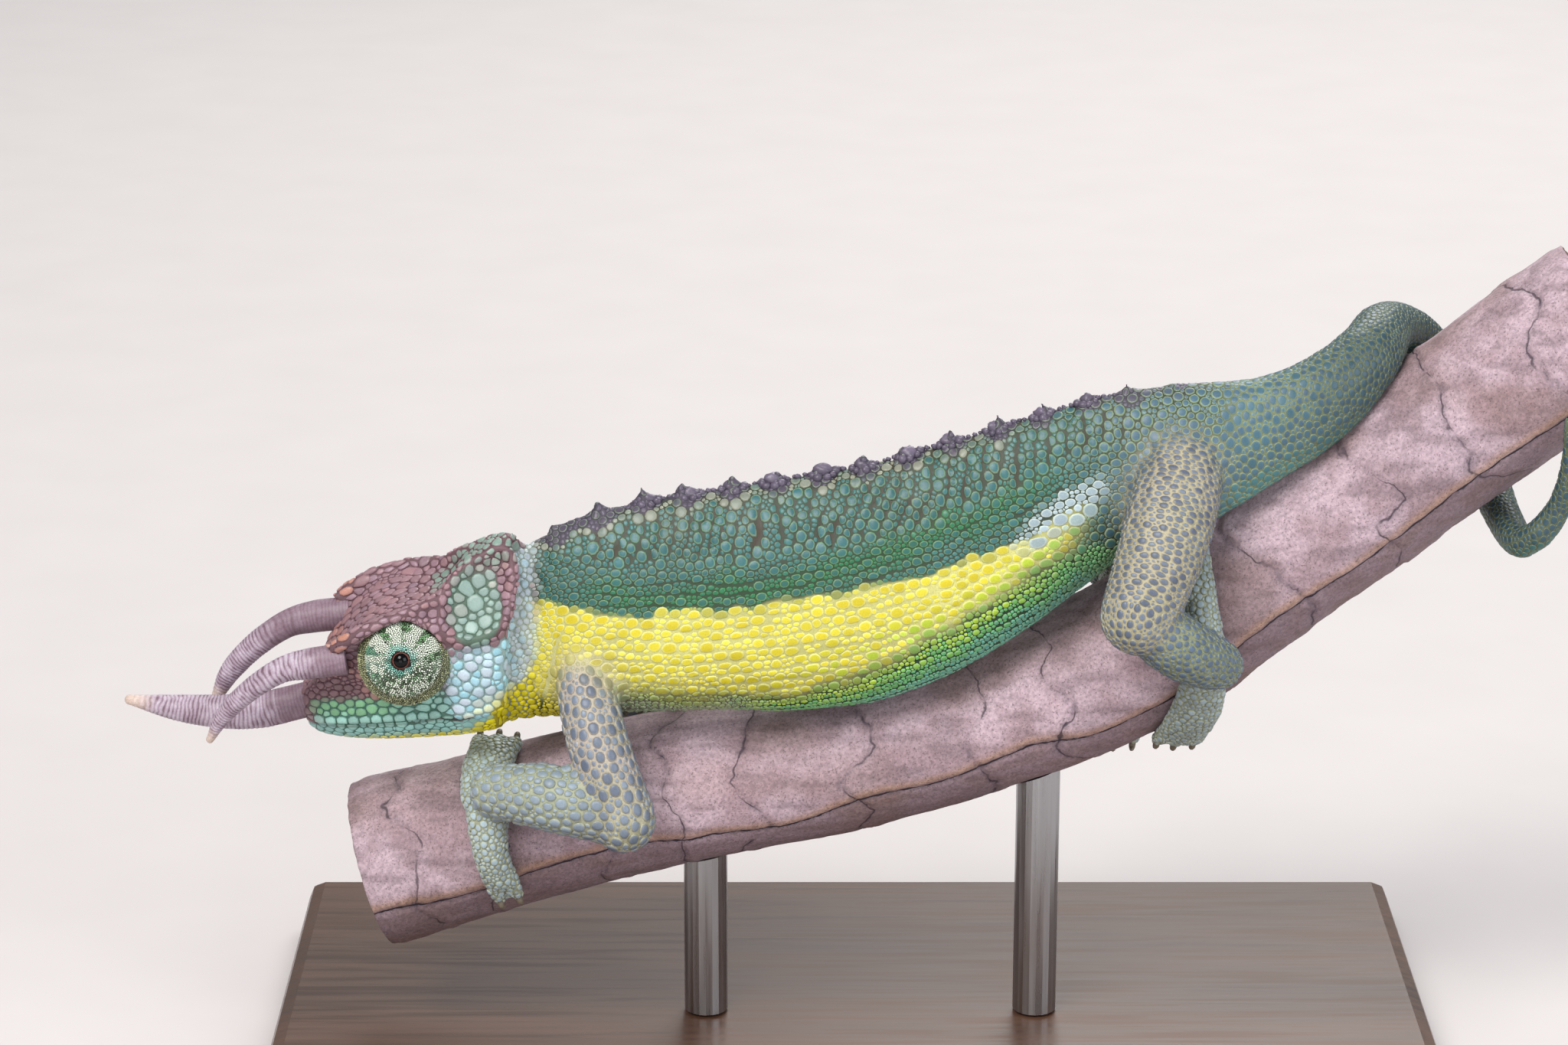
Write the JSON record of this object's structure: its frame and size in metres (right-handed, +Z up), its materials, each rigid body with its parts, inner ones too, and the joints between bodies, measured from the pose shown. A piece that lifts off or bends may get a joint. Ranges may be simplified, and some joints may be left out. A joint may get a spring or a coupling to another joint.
{
  "type": "jacksons chameleon",
  "caption": "Life-size still model of a male Jackson's chameleon gripping a short cut branch, with horned head, crest and wrapped tail, held on a flat display stand.",
  "frame": {"origin": "middle of the flat underside of the display base", "axes": "+Z up, +X from the animal's head towards its tail, -Y out of its left side"},
  "size_m": [0.1704, 0.084, 0.0972],
  "materials": {
    "skin_body": "scaly satin skin",
    "skin_head": "scaly satin skin",
    "skin_limb": "scaly satin skin",
    "eyelid": "fine scaly skin",
    "eyeball": "wet gloss",
    "horn": "ringed satin horn",
    "bark": "weathered bark",
    "stand_wood": "dark stained satin wood",
    "stand_steel": "brushed metal rod"
  },
  "bodies": {
    "root": {"head": "skin_head", "lower_jaw": "skin_head", "eye_turret_left": "eyelid", "eye_turret_right": "eyelid", "eyeball_left": "eyeball", "eyeball_right": "eyeball", "horn_nose": "horn", "horn_left": "horn", "horn_right": "horn", "neck": "skin_body", "torso": "skin_body", "tail_1": "skin_body", "tail_2": "skin_body", "tail_3": "skin_body", "tail_4": "skin_body", "tail_5": "skin_body", "tail_6": "skin_body", "fore_left_upper": "skin_limb", "fore_left_lower": "skin_limb", "fore_left_toes_inner": "skin_limb", "fore_left_toes_outer": "skin_limb", "fore_right_upper": "skin_limb", "fore_right_lower": "skin_limb", "fore_right_toes_inner": "skin_limb", "fore_right_toes_outer": "skin_limb", "hind_left_upper": "skin_limb", "hind_left_lower": "skin_limb", "hind_left_toes_inner": "skin_limb", "hind_left_toes_outer": "skin_limb", "hind_right_upper": "skin_limb", "hind_right_lower": "skin_limb", "hind_right_toes_inner": "skin_limb", "hind_right_toes_outer": "skin_limb", "perch_branch": "bark", "stand_base": "stand_wood", "stand_rod_front": "stand_steel", "stand_rod_back": "stand_steel"}
  },
  "joints": []
}
